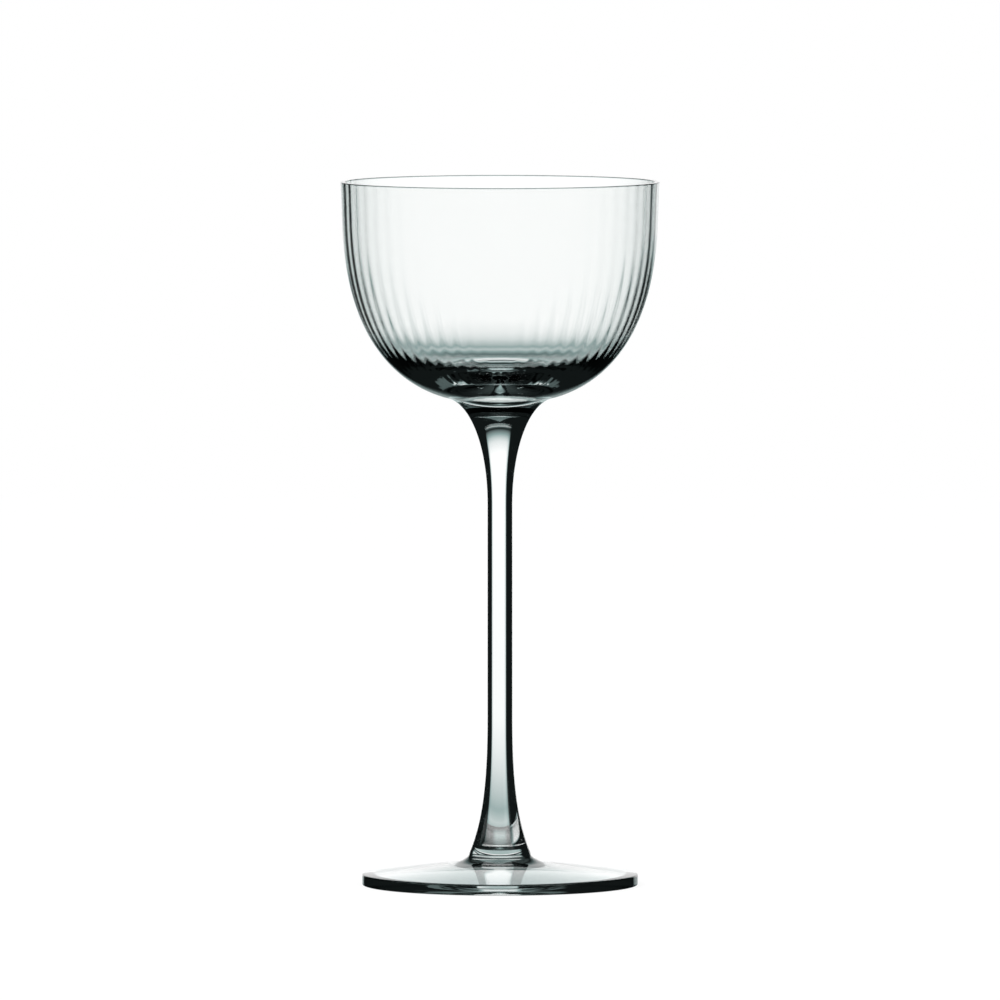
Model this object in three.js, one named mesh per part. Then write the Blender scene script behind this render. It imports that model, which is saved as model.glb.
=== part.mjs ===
// Stemmed cocktail glass: a blown bowl with optic ribs, a drawn stem and a disc foot.
// The three gathers of glass are separate solids that meet face to face at their two fused seams.
// Millimetres, +Z up, origin on the table under the middle of the foot.
import * as THREE from "three";

// Foot: a shallow cone with a square edge, a boss for the stem and a hollow that follows the cone.
const footDiameter = 68.6;
const footEdgeHeight = 2.7;
const footEdgeRounding = 0.4;
const footSlope = THREE.MathUtils.degToRad(7.4);
const bossHeight = 1.8;
const bossReach = 4.7;
const restingRingWidth = 2.8;
const footHollowDepth = 3.8;

// Stem: slender at the waist and flared at each end. Its length runs from the foot's seam to the bowl's
// underside.
const stemLength = 113.1;
const stemWaistDiameter = 6.2;
const footSeamDiameter = 15.2;
const footFlareLength = 34;
const bowlFlareDiameter = 25.6;
const bowlFlareLength = 26.5;
const bowlFlarePull = 5;

// Bowl: a deep round cup with a rounded lip and ribs on the inside. Its wall swells to a heel round the floor.
const bowlDiameter = 78.8;
const bellyDepth = 50.9;
const lipHeight = 3;
const lipFlare = 0.26;
const lipLength = 10;
const lipWall = 1.6;
const sideWall = 1.6;
const heelWall = 5.9;
const floorWall = 2.7;
const floorDiameter = 28.4;
const swellStart = THREE.MathUtils.degToRad(41);
const swellEnd = THREE.MathUtils.degToRad(87);
const ribCount = 56;
const ribDepth = 0.15;
const ribStartDiameter = 23;
const ribFullDiameter = 46;

// How finely the curves are cut into facets.
const stemSides = 36;
const footSides = 72;
const stepsPerRib = 3;

const footRadius = footDiameter / 2;
const footSeamRadius = footSeamDiameter / 2;
const flareRadius = bowlFlareDiameter / 2;
const waistRadius = stemWaistDiameter / 2;
const bowlRadius = bowlDiameter / 2;

// The foot's upper face rises from its edge towards the stem.
const footConeHeight = (radius) => footEdgeHeight + (footRadius - radius) * Math.tan(footSlope);
const footSeamHeight = footConeHeight(footSeamRadius) + bossHeight;
const flareTop = footSeamHeight + stemLength;
const lipFoot = flareTop + bellyDepth;
const rimHeight = lipFoot + lipHeight - lipWall / 2;

const point = (radius, height) => new THREE.Vector2(radius, height);

// A rounded cup: the share of its radius left at a share of its depth, and the other way round.
function cupShare(share) {
  const roundness = 2.5;
  return (1 - Math.min(Math.max(share, 0), 1) ** roundness) ** (1 / roundness);
}

// The bowl's outside by its turn, from none at the foot of the lip to a quarter turn on the axis.
const cupDepth = bellyDepth / cupShare(flareRadius / bowlRadius);
function cupOutside(turn) {
  const depthShare = Math.sin(turn);
  return point(bowlRadius * cupShare(depthShare), lipFoot - cupDepth * depthShare);
}

function cupDirection(turn) {
  const step = 1e-4;
  return cupOutside(turn + step).sub(cupOutside(turn - step)).normalize();
}

// The flare under the bowl: one sweep from the waist that ends along the bowl's underside.
const flareTurn = Math.asin(bellyDepth / cupDepth);
const waistReach = 0.41;
const seamShare = 0.72;
const flareSweep = new THREE.CubicBezierCurve(
  point(waistRadius, flareTop - bowlFlareLength),
  point(waistRadius, flareTop - bowlFlareLength * waistReach),
  cupDirection(flareTurn).multiplyScalar(bowlFlarePull).add(cupOutside(flareTurn)),
  cupOutside(flareTurn),
);
const bowlSeam = flareSweep.getPoint(seamShare);

// Joins stretches of points end to end into one profile.
function profileOf(...stretches) {
  return stretches.reduce((points, fresh) => points.concat(points.length ? fresh.slice(1) : fresh));
}

const line = (from, to) => [from, to];
const bend = (from, corner, to, steps) => new THREE.QuadraticBezierCurve(from, corner, to).getPoints(steps);
const sweep = (from, pullFrom, pullTo, to, steps) =>
  new THREE.CubicBezierCurve(from, pullFrom, pullTo, to).getPoints(steps);
const trace = (pointAt, from, to, steps) =>
  Array.from({ length: steps + 1 }, (_, k) => pointAt(THREE.MathUtils.lerp(from, to, k / steps)));

// Turns a profile about the upright axis. The profile runs from the axis below to the axis above.
function revolve(profile, sides) {
  const solid = new THREE.LatheGeometry(profile, sides);
  solid.rotateX(Math.PI / 2);
  return solid;
}

// Clear soda-lime glass with the faint grey-green cast of thick stemware.
function clearGlass() {
  return new THREE.MeshStandardMaterial({
    color: 0xdfe9e7,
    roughness: 0.03,
    metalness: 0,
    transparent: true,
    opacity: 0.4,
  });
}

function piece(name, geometry) {
  const mesh = new THREE.Mesh(geometry, clearGlass());
  mesh.name = name;
  return mesh;
}

// The foot stands on a flat ring round its hollow. Its boss sweeps up to the stem's seat.
function makeFoot() {
  const rounding = Math.min(footEdgeRounding, 0.45 * footEdgeHeight);
  const ringInner = footRadius - rounding - restingRingWidth;
  const hollowPower = 1.3;
  const hollow = (radius) => point(radius, footHollowDepth * (1 - (radius / ringInner) ** hollowPower));
  const bossFoot = footSeamRadius + bossReach;
  const slopeRun = rounding * Math.cos(footSlope);
  const ringEdge = point(ringInner, 0);
  const bottomStart = point(footRadius - rounding, 0);
  const bottomEnd = point(footRadius, rounding);
  const topStart = point(footRadius, footEdgeHeight - rounding);
  const topEnd = point(footRadius - slopeRun, footConeHeight(footRadius - slopeRun));
  const bossEdge = point(bossFoot, footConeHeight(bossFoot));
  const bossCorner = point(footSeamRadius, footConeHeight(footSeamRadius));
  const seatEdge = point(footSeamRadius, footSeamHeight);
  const profile = profileOf(
    trace(hollow, 0, ringInner, 9),
    line(ringEdge, bottomStart),
    bend(bottomStart, point(footRadius, 0), bottomEnd, 3),
    line(bottomEnd, topStart),
    bend(topStart, point(footRadius, footEdgeHeight), topEnd, 3),
    line(topEnd, bossEdge),
    bend(bossEdge, bossCorner, seatEdge, 5),
    line(seatEdge, point(0, footSeamHeight)),
  );
  return piece("foot", revolve(profile, footSides));
}

// The stem leaves its seat on the foot at a slant, runs straight at the waist and flares to the bowl's seam.
function makeStem() {
  // Shares of the lower flare's swell and length at which its curve is steered.
  const slant = 0.34;
  const slantReach = 0.21;
  const lowReach = 0.47;
  const swell = footSeamRadius - waistRadius;
  const seat = point(footSeamRadius, footSeamHeight);
  const waistLow = point(waistRadius, footSeamHeight + footFlareLength);
  const profile = profileOf(
    line(point(0, footSeamHeight), seat),
    sweep(
      seat,
      point(waistRadius + swell * slant, footSeamHeight + footFlareLength * slantReach),
      point(waistRadius, footSeamHeight + footFlareLength * lowReach),
      waistLow,
      10,
    ),
    line(waistLow, flareSweep.v0),
    trace((share) => flareSweep.getPoint(share), 0, seamShare, 9),
    line(bowlSeam, point(0, bowlSeam.y)),
  );
  return piece("stem", revolve(profile, stemSides));
}

// How far the lip has leant out and thinned at a height, from none to all of it over its last stretch.
const lipShare = (height) => Math.max((height - rimHeight) / lipLength + 1, 0) ** 2;

// The wall swells from the side to the heel, and thins again to the middle of the floor.
function wallAt(turn, radius) {
  const heel = THREE.MathUtils.smootherstep(turn, swellStart, swellEnd);
  const middle = Math.max(1 - (radius / (floorDiameter / 2)) ** 2, 0) ** 2;
  return sideWall + (heelWall - sideWall) * heel + (floorWall - heelWall) * middle;
}

// The bowl's inside: the outside set back square to itself by the wall.
function cupInside(turn) {
  const outside = cupOutside(turn);
  const along = cupDirection(turn);
  const wall = wallAt(turn, outside.x);
  return point(outside.x + wall * along.y, outside.y - wall * along.x);
}

// Ribs rise out of the floor and reach full depth on the wall.
function ribShare(radius) {
  return THREE.MathUtils.smootherstep(2 * radius, ribStartDiameter, ribFullDiameter);
}

// Pushes the inner wall in along every rib. Profile and ribs share the order of the revolved vertices.
function pressRibs(geometry, profile, ribWeights) {
  const position = geometry.getAttribute("position");
  for (let side = 0; side <= ribCount * stepsPerRib; side++) {
    const crest = 0.5 + 0.5 * Math.cos((2 * Math.PI * side) / stepsPerRib);
    profile.forEach(({ x: radius }, k) => {
      if (!ribWeights[k]) return;
      const index = side * profile.length + k;
      const narrowing = 1 - (ribDepth * ribWeights[k] * crest) / radius;
      position.setX(index, position.getX(index) * narrowing);
      position.setY(index, position.getY(index) * narrowing);
    });
  }
}

// Up the outside from the seam, over the round rim and down the ribbed inside to the floor.
function makeBowl() {
  const flareSteps = 2;
  const outerSteps = 10;
  const rimSteps = 4;
  const innerSteps = 12;
  const rimMiddle = bowlRadius + lipFlare - lipWall / 2;
  const leanOut = ({ x, y }) => point(x + lipFlare * lipShare(y), y);
  const thinOut = ({ x, y }) => leanOut(point(x + (sideWall - lipWall) * lipShare(y), y));
  const overRim = (turn) =>
    point(rimMiddle + (lipWall / 2) * Math.cos(turn), rimHeight + (lipWall / 2) * Math.sin(turn));

  const below = [
    point(0, bowlSeam.y),
    ...trace((share) => flareSweep.getPoint(share), seamShare, 1, flareSteps),
    ...trace(cupOutside, flareTurn, 0, outerSteps).slice(1).map(leanOut),
  ];
  const rim = trace(overRim, 0, Math.PI, rimSteps);
  const inside = trace(cupInside, 0, Math.PI / 2, innerSteps).slice(0, -1).map(thinOut);
  const floor = point(0, cupOutside(Math.PI / 2).y + floorWall);
  const profile = [...below, ...rim, ...inside, floor];
  const ribWeights = [
    ...below.map(() => 0),
    ...rim.map((_, k) => 0.5 - 0.5 * Math.cos((Math.PI * k) / rimSteps)),
    ...inside.map(({ x: radius }) => ribShare(radius)),
    0,
  ];

  const geometry = revolve(profile, ribCount * stepsPerRib);
  pressRibs(geometry, profile, ribWeights);
  return piece("bowl", geometry);
}

const cocktailGlass = new THREE.Group();
cocktailGlass.add(makeFoot(), makeStem(), makeBowl());

export default cocktailGlass;
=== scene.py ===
import math

import bpy
import numpy as np
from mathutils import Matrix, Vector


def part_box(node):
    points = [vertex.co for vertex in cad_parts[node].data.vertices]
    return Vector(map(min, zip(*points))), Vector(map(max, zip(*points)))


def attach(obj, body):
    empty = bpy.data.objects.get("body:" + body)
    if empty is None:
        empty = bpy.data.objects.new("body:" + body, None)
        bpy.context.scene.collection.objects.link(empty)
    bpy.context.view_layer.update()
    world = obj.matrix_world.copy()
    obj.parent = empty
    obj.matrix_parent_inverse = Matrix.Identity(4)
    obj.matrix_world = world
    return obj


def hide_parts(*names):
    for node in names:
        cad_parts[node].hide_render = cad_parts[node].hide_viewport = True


# A stemmed cocktail glass: optic-ribbed bowl, drawn stem and disc foot, three gathers of clear glass.
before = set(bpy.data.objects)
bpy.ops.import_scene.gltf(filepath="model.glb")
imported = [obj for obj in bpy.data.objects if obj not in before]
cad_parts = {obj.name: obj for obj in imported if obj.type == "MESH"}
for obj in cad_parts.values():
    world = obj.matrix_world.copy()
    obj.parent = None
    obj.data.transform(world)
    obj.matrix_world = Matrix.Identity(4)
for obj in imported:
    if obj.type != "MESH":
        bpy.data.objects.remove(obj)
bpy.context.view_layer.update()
print("frame loaded:", sorted(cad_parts))

mm = 0.001
scene = bpy.context.scene
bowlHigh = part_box("bowl")[1]
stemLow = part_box("stem")[0]
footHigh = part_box("foot")[1]
finePoints = 40  # points worked out on a curve for each step that is kept


# Even spacing along a profile: the running length is cut into equal steps and both coordinates follow.
def evenProfile(radius, height, steps):
    length = np.concatenate([[0], np.cumsum(np.hypot(np.diff(radius), np.diff(height)))])
    at = np.linspace(0, length[-1], steps + 1)
    return np.interp(at, length, radius), np.interp(at, length, height)


# Cubic curve of four (radius, height) points, by the Bernstein weights of t, over a stretch of t.
def sweepProfile(start, pullStart, pullEnd, end, steps, stretch=(0, 1)):
    t = np.linspace(*stretch, finePoints * steps + 1)[:, None]
    weights = np.hstack([(1 - t) ** 3, 3 * t * (1 - t) ** 2, 3 * t**2 * (1 - t), t**3])
    curve = weights @ np.array([start, pullStart, pullEnd, end])
    return evenProfile(curve[:, 0], curve[:, 1], steps)


# Quadratic bend from one point to another round a corner point.
def bendProfile(start, corner, end, steps):
    t = np.linspace(0, 1, finePoints * steps + 1)[:, None]
    curve = np.hstack([(1 - t) ** 2, 2 * t * (1 - t), t**2]) @ np.array([start, corner, end])
    return evenProfile(curve[:, 0], curve[:, 1], steps)


def lineProfile(start, end, steps):
    return np.linspace(start[0], end[0], steps + 1), np.linspace(start[1], end[1], steps + 1)


# Joins profile stretches end to end, dropping the point that two neighbours share.
def joinProfiles(*stretches):
    radius = np.concatenate([stretches[0][0]] + [s[0][1:] for s in stretches[1:]])
    height = np.concatenate([stretches[0][1]] + [s[1][1:] for s in stretches[1:]])
    return radius, height


# Superellipse cup: the share of the radius that is left at a share of the depth, and the reverse.
def cupShare(share, roundness):
    return (1 - np.clip(share, 0, 1) ** roundness) ** (1 / roundness)


# Smooth rise from 0 to 1 with level ends: 6u^5 - 15u^4 + 10u^3.
def swell(u):
    u = np.clip(u, 0, 1)
    return u**3 * (u * (6 * u - 15) + 10)


# Surface of revolution over a grid of turns and profile: x = r cos a, y = r sin a, z = h, axis to axis.
# Radius may change with the turn. The two ends are poles, closed with fans of triangles. A seam is an end,
# low or high, whose flat fan is fused to the next piece. It has the second material and a true corner.
def revolve(name, radius, height, turns, seams):
    angle = np.arange(turns) * 2 * math.pi / turns
    radius = np.broadcast_to(radius, (turns, radius.shape[-1]))
    ringR = radius[:, 1:-1]
    rings = ringR.shape[1]
    ringZ = np.broadcast_to(height[1:-1], ringR.shape)
    grid = np.stack([ringR * np.cos(angle)[:, None], ringR * np.sin(angle)[:, None], ringZ], axis=-1)
    poles = np.array([[0, 0, height[0]], [0, 0, height[-1]]])
    points = np.concatenate([grid.reshape(-1, 3), poles])

    here = np.arange(turns)[:, None] * rings + np.arange(rings - 1)
    there = np.roll(np.arange(turns), -1)[:, None] * rings + np.arange(rings - 1)
    quads = np.stack([here, there, there + 1, here + 1], axis=-1).reshape(-1, 4)
    first = np.arange(turns) * rings
    last = first + rings - 1
    lowPole, highPole = len(points) - 2, len(points) - 1
    lowFan = np.stack([np.full(turns, lowPole), np.roll(first, -1), first], axis=-1)
    highFan = np.stack([np.full(turns, highPole), last, np.roll(last, -1)], axis=-1)

    corners = np.concatenate([quads.ravel(), lowFan.ravel(), highFan.ravel()])
    sizes = np.concatenate([np.full(len(quads), 4), np.full(2 * turns, 3)])
    fans = {"low": slice(len(quads), len(quads) + turns), "high": slice(len(quads) + turns, None)}
    slots = np.zeros(len(sizes), np.int32)
    for seam in seams:
        slots[fans[seam]] = 1
    mesh = bpy.data.meshes.new(name)
    mesh.vertices.add(len(points))
    mesh.vertices.foreach_set("co", points.astype(np.float32).ravel())
    mesh.loops.add(len(corners))
    mesh.loops.foreach_set("vertex_index", corners.astype(np.int32))
    mesh.polygons.add(len(sizes))
    mesh.polygons.foreach_set("loop_start", (np.cumsum(sizes) - sizes).astype(np.int32))
    mesh.polygons.foreach_set("use_smooth", np.ones(len(sizes), bool))
    mesh.polygons.foreach_set("material_index", slots)
    mesh.update(calc_edges=True)

    edgeEnds = np.empty(2 * len(mesh.edges), np.int32)
    mesh.edges.foreach_get("vertices", edgeEnds)
    edgeEnds = edgeEnds.reshape(-1, 2)
    ringOf = np.where(edgeEnds < turns * rings, edgeEnds % rings, -1)
    seamRing = {"low": 0, "high": rings - 1}
    sharp = np.zeros(len(edgeEnds), bool)
    for seam in seams:
        sharp |= (ringOf == seamRing[seam]).all(axis=1)
    mesh.attributes.new("sharp_edge", "BOOLEAN", "EDGE").data.foreach_set("value", sharp)
    mesh.validate()
    piece = bpy.data.objects.new(name, mesh)
    scene.collection.objects.link(piece)
    print(name, len(points), "points")
    return piece


bowlSettings = {
    "depth": 52.18 * mm,  # from the lip's foot to the underside on the axis, as if there were no stem
    "roundness": 2.5,
    "lipHeight": 3 * mm,
    "lipFlare": 0.26 * mm,
    "lipLength": 10 * mm,  # stretch over which the lip leans out
    "rimHeight": 0.4 * mm,
    "rimSquareness": 4.6,  # 2 is a half round
    "sideWall": 1.3 * mm,
    "heelWall": 6 * mm,  # thickest, round the floor
    "floorWall": 2.7 * mm,
    "floorRadius": 14.2 * mm,
    "swellStart": 39.5,  # degrees of turn down the cup where the wall starts to thicken
    "swellEnd": 88.5,
    "ribCount": 56,
    "ribDepth": 0.064 * mm,
    "ribTurn": 0.375,  # how far the ribs are turned, as a share of one rib
    "ribStart": 11.5 * mm,
    "ribFull": 23 * mm,
    "stepsPerRib": 8,
    "flareSteps": 18,
    "outerSteps": 84,
    "rimSteps": 20,
    "innerSteps": 94,
    "cupPoints": 4000,  # points worked out on the cup and the lip before they are spaced evenly
    "lipPoints": 200,
}

flareSettings = {
    "waist": 3.1 * mm,
    "topRadius": 12.8 * mm,  # where it runs out along the bowl's underside
    "length": 26.5 * mm,
    "waistReach": 0.41,
    "pull": 5 * mm,
    "seamShare": 0.72,  # the bowl's seam, as a share of the sweep
}


# The lip leans out by its flare times the square of the way up its last stretch.
def lipLean(height):
    s = bowlSettings
    return s["lipFlare"] * np.clip((height - bowlHigh.z) / s["lipLength"] + 1, 0, None) ** 2


# Outside of the cup by its turn: radius = R (1 - sin^n)^(1/n), height = lip - depth sin.
def cupOutside(turn):
    s = bowlSettings
    lipZ = bowlHigh.z - s["lipHeight"]
    bowlRadius = bowlHigh.x - s["lipFlare"]
    return bowlRadius * cupShare(np.sin(turn), s["roundness"]), lipZ - s["depth"] * np.sin(turn)


# Turn, height and steepness of the underside where the flare meets it.
def flareTop():
    turn = np.linspace(0, math.pi / 2, 2 * bowlSettings["cupPoints"] + 1)
    radius, height = cupOutside(turn)
    at = flareSettings["topRadius"]
    step = 0.01 * mm
    rise = np.interp([at - step, at, at + step], radius[::-1], height[::-1])
    return np.interp(at, radius[::-1], turn[::-1]), rise[1], (rise[2] - rise[0]) / (2 * step)


# The flare under the bowl, shared by stem and bowl: one cubic that ends along the bowl's underside.
def flareProfile(steps, stretch):
    s = flareSettings
    top, steepness = flareTop()[1:]
    return sweepProfile(
        (s["waist"], top - s["length"]),
        (s["waist"], top - s["length"] * s["waistReach"]),
        (s["topRadius"] - s["pull"], top - s["pull"] * steepness),
        (s["topRadius"], top),
        steps,
        stretch,
    )


# Up the outside from the seam, over the rim and down the ribbed inside to the middle of the floor.
def makeBowl():
    s = bowlSettings
    rimZ, half = bowlHigh.z, s["sideWall"] / 2
    lipZ = rimZ - s["lipHeight"]
    rimFoot = rimZ - s["rimHeight"]

    flare = flareProfile(s["flareSteps"], (flareSettings["seamShare"], 1))
    outerR, outerZ = cupOutside(np.linspace(flareTop()[0], 0, s["cupPoints"]))
    lipRise = np.linspace(lipZ, rimFoot, s["lipPoints"])[1:]
    outerZ = np.concatenate([outerZ, lipRise])
    outerR = np.concatenate([outerR, np.full(len(lipRise), outerR[-1])]) + lipLean(outerZ)
    outer = evenProfile(outerR, outerZ, s["outerSteps"])

    # rim: a superellipse over the wall, |x|^n + |z|^n = 1
    over = np.linspace(0, math.pi, s["rimSteps"] + 1)
    across, above = np.cos(over), np.sin(over)
    out = (np.abs(across) ** s["rimSquareness"] + above ** s["rimSquareness"]) ** (-1 / s["rimSquareness"])
    rim = outerR[-1] - half + half * across * out, rimFoot + s["rimHeight"] * above * out

    # inside: the outside set back along its normal by a wall that swells to the heel
    # and thins again over the floor by (1 - (r/f)^2)^2
    turn = np.linspace(0, math.pi / 2, s["cupPoints"] + 1)
    cupR, cupZ = cupOutside(turn)
    share = (np.degrees(turn) - s["swellStart"]) / (s["swellEnd"] - s["swellStart"])
    middle = np.clip(1 - (cupR / s["floorRadius"]) ** 2, 0, 1) ** 2
    wall = s["sideWall"] + (s["heelWall"] - s["sideWall"]) * swell(share)
    wall += (s["floorWall"] - s["heelWall"]) * middle
    alongR, alongZ = np.gradient(cupR), np.gradient(cupZ)
    length = np.hypot(alongR, alongZ)
    innerR = np.clip(cupR + wall * alongZ / length, 0, None)
    innerZ = cupZ - wall * alongR / length
    innerR[-1], innerZ[-1] = 0, cupZ[-1] + s["floorWall"]
    innerR = np.concatenate([np.full(len(lipRise), innerR[0]), innerR])
    innerZ = np.concatenate([lipRise[::-1], innerZ])
    inner = evenProfile(innerR + lipLean(innerZ), innerZ, s["innerSteps"])

    seam = np.array([0, flare[0][0]]), np.array([flare[1][0], flare[1][0]])
    radius, height = joinProfiles(seam, flare, outer, rim, inner)

    # ribs push the inner wall in by depth times (1 + cos(n a + turn)) / 2, growing out of the floor
    # and dying away over the rim
    depth = s["ribDepth"] * swell((radius - s["ribStart"]) / (s["ribFull"] - s["ribStart"]))
    rimStart = 1 + s["flareSteps"] + s["outerSteps"]
    depth[:rimStart] = 0
    depth[rimStart:rimStart + s["rimSteps"] + 1] *= 0.5 - 0.5 * np.cos(over)
    turns = s["ribCount"] * s["stepsPerRib"]
    crest = 0.5 + 0.5 * np.cos(2 * math.pi * (np.arange(turns) / s["stepsPerRib"] + s["ribTurn"]))
    ribbed = radius - crest[:, None] * depth
    return revolve("bowl_glass", ribbed, height, turns, ["low"])


stemSettings = {
    "footSeat": 7.6 * mm,
    "footFlare": 34 * mm,
    "footSlant": 0.34,  # shares of the lower flare's swell and length that steer its curve
    "footSlantReach": 0.21,
    "footWaistReach": 0.47,
    "turns": 192,
    "footFlareSteps": 90,
    "shankSteps": 80,
    "bowlFlareSteps": 100,
}


# From the seat on the foot up a slanting flare, along the straight waist and up the flare to the seam.
def makeStem():
    s = stemSettings
    low = stemLow.z
    waist, footSeat = flareSettings["waist"], s["footSeat"]
    footFlare = sweepProfile(
        (footSeat, low),
        (waist + (footSeat - waist) * s["footSlant"], low + s["footFlare"] * s["footSlantReach"]),
        (waist, low + s["footFlare"] * s["footWaistReach"]),
        (waist, low + s["footFlare"]),
        s["footFlareSteps"],
    )
    bowlFlare = flareProfile(s["bowlFlareSteps"], (0, flareSettings["seamShare"]))
    shank = lineProfile((waist, low + s["footFlare"]), (waist, bowlFlare[1][0]), s["shankSteps"])
    lowSeam = np.array([0, footSeat]), np.array([low, low])
    highSeam = np.array([bowlFlare[0][-1], 0]), np.full(2, bowlFlare[1][-1])
    radius, height = joinProfiles(lowSeam, footFlare, shank, bowlFlare, highSeam)
    return revolve("stem_glass", radius, height, s["turns"], ["low", "high"])


footSettings = {
    "edgeHeight": 2.7 * mm,
    "edgeRounding": 0.4 * mm,
    "slope": math.radians(7.4),
    "bossReach": 4.7 * mm,
    "ringWidth": 2.8 * mm,
    "hollowDepth": 3.8 * mm,
    "hollowPower": 1.3,
    "turns": 256,
    "hollowSteps": 70,
    "ringSteps": 20,
    "roundingSteps": 14,
    "edgeSteps": 6,
    "slopeSteps": 60,
    "bossSteps": 30,
}


# Out along the hollow to the ring that it stands on, round the edge, up the cone and the boss to the seat.
def makeFoot():
    s = footSettings
    edge, rounding, seat = footHigh.x, s["edgeRounding"], stemSettings["footSeat"]

    def onCone(radius):
        return radius, s["edgeHeight"] + (edge - radius) * math.tan(s["slope"])

    ringInner = edge - rounding - s["ringWidth"]
    ringOuter = (edge - rounding, 0)
    edgeLow, edgeHigh = (edge, rounding), (edge, s["edgeHeight"] - rounding)
    slopeEnd = onCone(edge - rounding * math.cos(s["slope"]))
    bossFoot = onCone(seat + s["bossReach"])
    # hollow underside: z = depth (1 - (r/ring)^p), so that the foot is a plate of nearly even thickness
    hollowR = np.linspace(0, ringInner, s["hollowSteps"] + 1)
    hollow = hollowR, s["hollowDepth"] * (1 - (hollowR / ringInner) ** s["hollowPower"])
    radius, height = joinProfiles(
        hollow,
        lineProfile((ringInner, 0), ringOuter, s["ringSteps"]),
        bendProfile(ringOuter, (edge, 0), edgeLow, s["roundingSteps"]),
        lineProfile(edgeLow, edgeHigh, s["edgeSteps"]),
        bendProfile(edgeHigh, (edge, s["edgeHeight"]), slopeEnd, s["roundingSteps"]),
        lineProfile(slopeEnd, bossFoot, s["slopeSteps"]),
        bendProfile(bossFoot, onCone(seat), (seat, footHigh.z), s["bossSteps"]),
        (np.array([seat, 0]), np.array([footHigh.z, footHigh.z])),
    )
    return revolve("foot_glass", radius, height, s["turns"], ["high"])


# A node group with named sockets: (name, socket type, default) for each input.
def shaderGroup(name, inputs, output, outputType):
    group = bpy.data.node_groups.new(name, "ShaderNodeTree")
    for label, kind, value in inputs:
        group.interface.new_socket(label, in_out="INPUT", socket_type=kind).default_value = value
    group.interface.new_socket(output, in_out="OUTPUT", socket_type=outputType)
    return group, group.nodes.new("NodeGroupInput").outputs, group.nodes.new("NodeGroupOutput").inputs


# A Mix node for colours: its two colour inputs and its colour output, by number, as their names repeat.
def colourMix(tree, factor):
    mix = tree.nodes.new("ShaderNodeMix")
    mix.data_type = "RGBA"
    tree.links.new(factor, mix.inputs["Factor"])
    return mix.inputs[6], mix.inputs[7], mix.outputs[2]


# Noise on object coordinates, drawn out along the upright axis by the share of detail left there.
def drawnNoise(group, scale, upright):
    nodes, links = group.nodes, group.links
    factors = nodes.new("ShaderNodeCombineXYZ")
    factors.inputs["X"].default_value = 1
    factors.inputs["Y"].default_value = 1
    links.new(upright, factors.inputs["Z"])
    drawn = nodes.new("ShaderNodeVectorMath")
    drawn.operation = "MULTIPLY"
    links.new(nodes.new("ShaderNodeTexCoord").outputs["Object"], drawn.inputs[0])
    links.new(factors.outputs[0], drawn.inputs[1])
    noise = nodes.new("ShaderNodeTexNoise")
    noise.inputs["Detail"].default_value = 2
    links.new(drawn.outputs[0], noise.inputs["Vector"])
    links.new(scale, noise.inputs["Scale"])
    return noise.outputs["Fac"]


# Height of the soft waves that hot working leaves in the surface.
def meltRipple():
    inputs = [("Scale", "NodeSocketFloat", 90), ("Upright", "NodeSocketFloat", 1)]
    group, given, made = shaderGroup("melt_ripple", inputs, "Height", "NodeSocketFloat")
    group.links.new(drawnNoise(group, given["Scale"], given["Upright"]), made["Height"])
    return group


# Cast of the glass, between a pale and a deep tone in slow cords.
def glassCast():
    inputs = [
        ("Scale", "NodeSocketFloat", 30), ("Upright", "NodeSocketFloat", 1),
        ("Pale", "NodeSocketColor", (1, 1, 1, 1)), ("Deep", "NodeSocketColor", (1, 1, 1, 1)),
    ]
    group, given, made = shaderGroup("glass_cast", inputs, "Color", "NodeSocketColor")
    pale, deep, mixed = colourMix(group, drawnNoise(group, given["Scale"], given["Upright"]))
    group.links.new(given["Pale"], pale)
    group.links.new(given["Deep"], deep)
    group.links.new(mixed, made["Color"])
    return group


# Upright is the share of detail left up the piece, waves the height of its ripple, limb its colour edge-on.
glassSettings = {
    "bowl": {
        "ripple": {"Scale": 240, "Upright": 0.12},
        "waves": 0.004 * mm,
        "cast": {
            "Scale": 40, "Upright": 0.5,
            "Pale": (0.992, 0.999, 0.996, 1), "Deep": (0.984, 0.995, 0.989, 1),
        },
        "limb": (0.85, 0.965, 0.955, 1),
    },
    "stem": {
        "ripple": {"Scale": 420, "Upright": 0.04},
        "waves": 0.002 * mm,
        "cast": {
            "Scale": 120, "Upright": 0.1,
            "Pale": (0.988, 0.998, 0.994, 1), "Deep": (0.978, 0.993, 0.987, 1),
        },
        "limb": (0.9, 0.975, 0.97, 1),
    },
    "foot": {
        "ripple": {"Scale": 130, "Upright": 1},
        "waves": 0.006 * mm,
        "cast": {
            "Scale": 60, "Upright": 1,
            "Pale": (0.992, 0.999, 0.996, 1), "Deep": (0.982, 0.994, 0.988, 1),
        },
        "limb": (0.95, 0.985, 0.982, 1),
    },
}
glassIndex = 1.5  # index of refraction of soda-lime glass
rippleGroup, castGroup = meltRipple(), glassCast()


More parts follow.
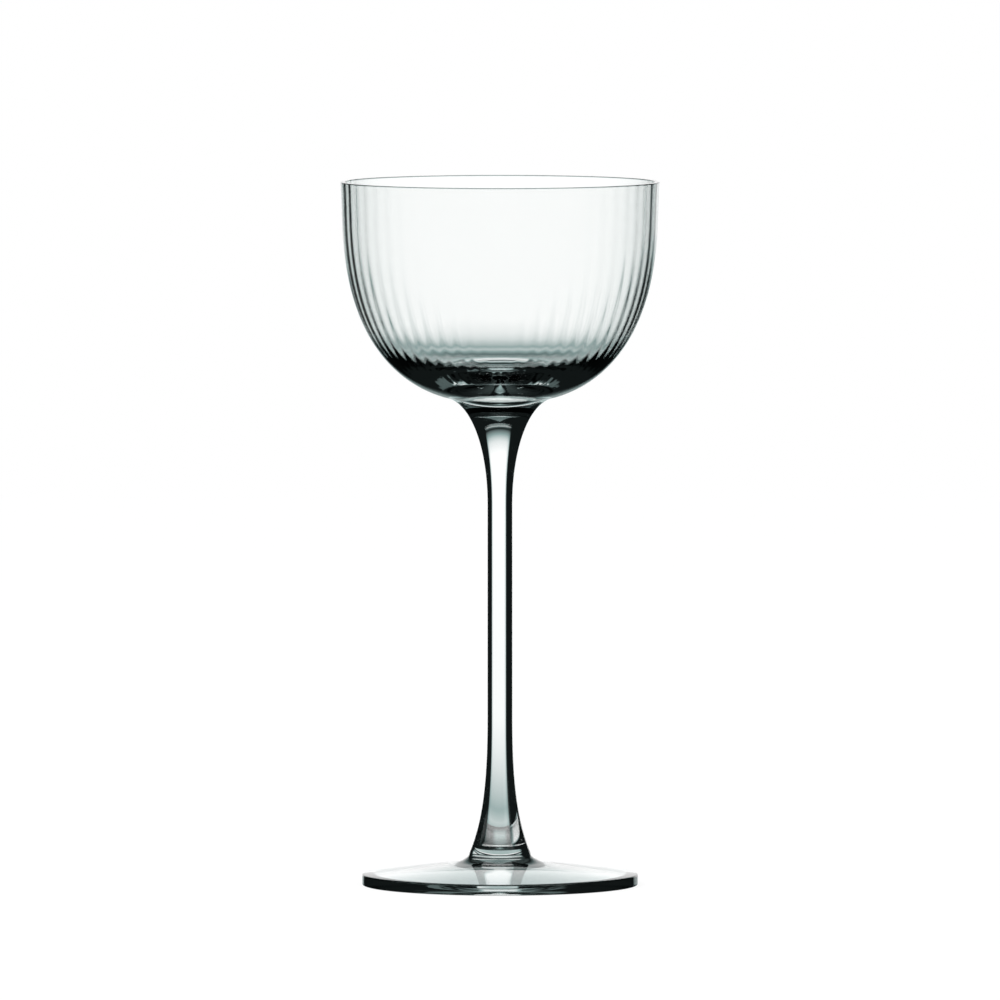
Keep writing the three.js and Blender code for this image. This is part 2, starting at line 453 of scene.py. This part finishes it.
# Clear fire-polished glass with a faint ripple and a faint grey-green cast.
def clearGlass(node):
    s = glassSettings[node]
    material = bpy.data.materials.new(node + "_clear")
    material.use_nodes = True
    nodes, links = material.node_tree.nodes, material.node_tree.links
    shader = nodes["Principled BSDF"]
    shader.inputs["Transmission Weight"].default_value = 1
    shader.inputs["Roughness"].default_value = 0
    shader.inputs["IOR"].default_value = glassIndex

    def place(group, values):
        placed = nodes.new("ShaderNodeGroup")
        placed.node_tree = group
        for label, value in values.items():
            placed.inputs[label].default_value = value
        return placed.outputs[0]

    bump = nodes.new("ShaderNodeBump")
    bump.inputs["Distance"].default_value = s["waves"]
    links.new(place(rippleGroup, s["ripple"]), bump.inputs["Height"])
    links.new(bump.outputs[0], shader.inputs["Normal"])

    # more glass lies along a slanting look, so the cast deepens by the square of the slant
    slant = nodes.new("ShaderNodeLayerWeight").outputs["Facing"]
    square = nodes.new("ShaderNodeMath")
    square.operation = "MULTIPLY"
    links.new(slant, square.inputs[0])
    links.new(slant, square.inputs[1])
    facing, limb, mixed = colourMix(material.node_tree, square.outputs[0])
    links.new(place(castGroup, s["cast"]), facing)
    limb.default_value = s["limb"]
    links.new(mixed, shader.inputs["Base Color"])
    return material


# Two gathers that are fused have no face between them, so the seam lets all light by.
def fusedSeam():
    material = bpy.data.materials.new("fused_seam")
    material.use_nodes = True
    nodes, links = material.node_tree.nodes, material.node_tree.links
    nodes.remove(nodes["Principled BSDF"])
    clear = nodes.new("ShaderNodeBsdfTransparent")
    links.new(clear.outputs[0], nodes["Material Output"].inputs["Surface"])
    return material


seamMaterial = fusedSeam()
for maker, node in ((makeBowl, "bowl"), (makeStem, "stem"), (makeFoot, "foot")):
    piece = maker()
    piece.data.materials.append(clearGlass(node))
    piece.data.materials.append(seamMaterial)
    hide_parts(node)
    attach(piece, "root")

cameraSettings = {
    "distance": 4.36,
    "height": 0.358,
    "aimHeight": 95.8 * mm,
    "viewWidth": 248.4 * mm,  # what the picture takes in at the glass
    "sensor": 36,
    "farClip": 50,
}


def makeCamera():
    s = cameraSettings
    data = bpy.data.cameras.new("camera")
    camera = bpy.data.objects.new("camera", data)
    scene.collection.objects.link(camera)
    drop = math.atan2(s["height"] - s["aimHeight"], s["distance"])
    reach = math.hypot(s["distance"], s["height"] - s["aimHeight"])
    camera.location = (0, -s["distance"], s["height"])
    camera.rotation_euler = (math.pi / 2 - drop, 0, 0)
    data.sensor_width = s["sensor"]
    data.lens = s["sensor"] * reach / s["viewWidth"]
    data.clip_end = s["farClip"]
    scene.camera = camera
    print("camera:", round(math.degrees(drop), 2), "degrees down")


makeCamera()

# White cards round the glass: compass turn from +Y towards +X, brightness across the card as (degrees from
# its middle, level) pairs and up it as (rise, level) pairs. All else round the glass is dark.
# A card may be kept for light of one kind of path, by the masks in makeWorld.
backAcross = [(18, 1), (22.5, 0.8), (25.5, 0)]
lowLevels = [(-15, 0.43), (-10, 0.62), (-3, 1), (0, 0)]
sideLevels = [(-24, 0), (-14, 1), (8, 1), (18, 0)]
whiteCards = [
    # the backdrop, and a strip below it that is narrower for light thrown about in one solid
    {
        "turn": 4.75,
        "for": "direct",
        "across": backAcross,
        "levels": [(-6.5, 0), (-3.5, 1), (10, 1), (16, 0.77), (22, 0.33), (28, 0), (36, 0.25), (60, 0.15)],
    },
    {
        "turn": 0,
        "across": [(7, 1), (13.5, 0)],
        "levels": [
            (-85, 0.48), (-60, 0.37), (-45, 0.06), (-35, 0), (-26, 0.27), (-19, 0.6), (-15, 0.43), (-11, 0),
        ],
    },
    {"turn": 0, "for": "direct", "across": [(7, 1), (13.5, 0)], "levels": [(-19, 0)] + lowLevels},
    {"turn": 0, "across": [(4.5, 1), (7, 0)], "levels": [(-19, 0)] + lowLevels},
    {
        "turn": 4.75,
        "for": "solid",
        "across": backAcross,
        "levels": [(-35, 0), (-26, 0.27), (-19, 0.6)] + lowLevels,
    },
    # beyond the glass as seen from its right, from the front right above and from behind
    {"turn": -90, "for": "thin", "across": [(16, 1), (25, 0)], "levels": sideLevels},
    {"turn": -90, "for": "solid", "across": [(9, 1), (17, 0)], "levels": sideLevels},
    {
        "turn": -90,
        "for": "turned",
        "across": [(9, 1), (17, 0)],
        "levels": [(9, 0), (12, 0.7), (19, 0.7), (22, 0)],
    },
    {
        "turn": -45,
        "for": "thin",
        "across": [(16, 1), (25, 0)],
        "levels": [(-42, 0), (-34, 1), (-18, 1), (-10, 0)],
    },
    {
        "turn": -45,
        "for": "solid",
        "across": [(9, 1), (17, 0)],
        "levels": [(-29, 0), (-27.5, 1), (-23.5, 1), (-22, 0)],
    },
    {
        "turn": 135,
        "for": "straight",
        "across": [(18, 1), (25.5, 0)],
        "levels": [(-32, 0), (-24, 1), (-6, 1), (2, 0)],
    },
    # soft sheen from above and from the front right
    {"turn": 0, "for": "sheen", "across": [(180, 1)], "levels": [(35, 0), (55, 0.6)]},
    {
        "turn": 135,
        "for": "sheen",
        "across": [(14, 1), (25, 0)],
        "levels": [(-2, 0), (4, 0.8), (30, 0.8), (40, 0)],
    },
]
cardSettings = {
    "thrownDim": 0.88,  # how much a card for direct light is dimmed to light thrown about in one solid
    "dark": (0.006, 0.008, 0.008, 1),
    "halfLevel": 0.4,
    "half": (0.32, 0.43, 0.424, 1),  # half tones are faintly blue-green
    "full": (1.14, 1.14, 1.14, 1),
}


def makeWorld():
    s = cardSettings
    world = bpy.data.worlds.new("studio")
    world.use_nodes = True
    scene.world = world
    nodes, links = world.node_tree.nodes, world.node_tree.links

    def join(operation, *values):
        node = nodes.new("ShaderNodeMath")
        node.operation = operation
        for socket, value in zip(node.inputs, values):
            if isinstance(value, (int, float)):
                socket.default_value = value
            else:
                links.new(value, socket)
        return node.outputs[0]

    def ramp(value, stops):
        node = nodes.new("ShaderNodeValToRGB")
        links.new(value, node.inputs[0])
        elements = node.color_ramp.elements
        elements.remove(elements[1])
        for k, (position, level) in enumerate(stops):
            element = elements[0] if k == 0 else elements.new(position)
            element.position = position
            element.color = (level, level, level, 1)
        return node.outputs[0]

    direction = nodes.new("ShaderNodeTexCoord").outputs["Generated"]
    split = nodes.new("ShaderNodeSeparateXYZ")
    links.new(direction, split.inputs[0])
    turn = join("ARCTAN2", split.outputs["X"], split.outputs["Y"])
    rise = join("ARCSINE", split.outputs["Z"])
    riseShare = join("MULTIPLY_ADD", rise, 1 / math.pi, 0.5)

    # kinds of path, by how often the light was reflected and how often it crossed a face of the glass:
    # both are whole numbers, so each limit lies half way between two
    path = nodes.new("ShaderNodeLightPath")
    reflected, crossed = path.outputs["Glossy Depth"], path.outputs["Transmission Depth"]
    straight = join("LESS_THAN", reflected, 0.5)
    oneSolid = join("LESS_THAN", crossed, 2.5)
    thrown = join("MULTIPLY", oneSolid, join("GREATER_THAN", reflected, 1.5))
    masks = {
        "direct": join("MULTIPLY_ADD", thrown, -s["thrownDim"], 1),  # all light, thrown light dimmed
        "straight": straight,  # never reflected
        "solid": join("MULTIPLY", straight, oneSolid),  # straight through one solid
        "thin": join("MULTIPLY", straight, join("SUBTRACT", 1, oneSolid)),  # straight through two walls
        "turned": join("MULTIPLY", oneSolid, join("COMPARE", reflected, 1, 0.5)),  # turned back once
        "sheen": join("LESS_THAN", crossed, 0.5),  # only reflected
    }
    light = None
    for card in whiteCards:
        away = join("WRAP", join("SUBTRACT", turn, math.radians(card["turn"])), math.pi, -math.pi)
        awayShare = join("MULTIPLY", join("ABSOLUTE", away), 1 / math.pi)
        across = ramp(awayShare, [(degrees / 180, level) for degrees, level in card["across"]])
        upright = ramp(riseShare, [(degrees / 180 + 0.5, level) for degrees, level in card["levels"]])
        lit = join("MULTIPLY", across, upright)
        if "for" in card:
            lit = join("MULTIPLY", lit, masks[card["for"]])
        light = lit if light is None else join("MAXIMUM", light, lit)

    tone = nodes.new("ShaderNodeValToRGB")
    links.new(light, tone.inputs[0])
    stops = tone.color_ramp.elements
    stops[0].color = s["dark"]
    stops[1].color = s["full"]
    stops.new(s["halfLevel"]).color = s["half"]

    # the camera and the floor see plain white
    plain = join("MAXIMUM", path.outputs["Is Camera Ray"], path.outputs["Is Diffuse Ray"])
    cards, backdrop, mixed = colourMix(world.node_tree, plain)
    links.new(tone.outputs[0], cards)
    backdrop.default_value = (1, 1, 1, 1)
    links.new(mixed, nodes["Background"].inputs["Color"])
    nodes["Background"].inputs["Strength"].default_value = 1
    print("world:", len(whiteCards), "white cards")


makeWorld()

floorSettings = {"half": 1.6, "drop": 0.05 * mm, "glow": 0.88, "lit": 0.12}


# Pale floor: most of its white is its own glow, the rest is lit, so that the shadow stays faint.
def makeFloor():
    s = floorSettings
    h, z = s["half"], -s["drop"]
    mesh = bpy.data.meshes.new("floor")
    mesh.from_pydata([(-h, -h, z), (h, -h, z), (h, h, z), (-h, h, z)], [], [(0, 1, 2, 3)])
    floor = bpy.data.objects.new("floor", mesh)
    scene.collection.objects.link(floor)
    material = bpy.data.materials.new("pale_floor")
    material.use_nodes = True
    shader = material.node_tree.nodes["Principled BSDF"]
    shader.inputs["Base Color"].default_value = (s["lit"], s["lit"], s["lit"], 1)
    shader.inputs["Specular IOR Level"].default_value = 0
    shader.inputs["Roughness"].default_value = 1
    shader.inputs["Emission Color"].default_value = (1, 1, 1, 1)
    shader.inputs["Emission Strength"].default_value = s["glow"]
    mesh.materials.append(material)
    # the glass looks at the white cards instead
    floor.visible_glossy = False
    floor.visible_transmission = False


makeFloor()

lampSettings = {"place": (-0.5, -0.6, 0.9), "size": 0.7, "power": 6}


# One large soft lamp for the floor's shadow. Reflections come from the cards.
def makeLamp():
    s = lampSettings
    data = bpy.data.lights.new("soft_box", "AREA")
    data.size = s["size"]
    data.energy = s["power"]
    lamp = bpy.data.objects.new("soft_box", data)
    scene.collection.objects.link(lamp)
    lamp.location = s["place"]
    x, y, z = s["place"]
    lamp.rotation_euler = (math.atan2(math.hypot(x, y), z), 0, math.atan2(x, -y))
    lamp.visible_glossy = False
    lamp.visible_transmission = False


makeLamp()
print("floor and lamp in place")

# light crosses many faces of the glass, and is reflected often inside the thick foot and stem
scene.cycles.max_bounces = 24
scene.cycles.glossy_bounces = 8
scene.cycles.transmission_bounces = 24

scene.view_settings.view_transform = "Standard"
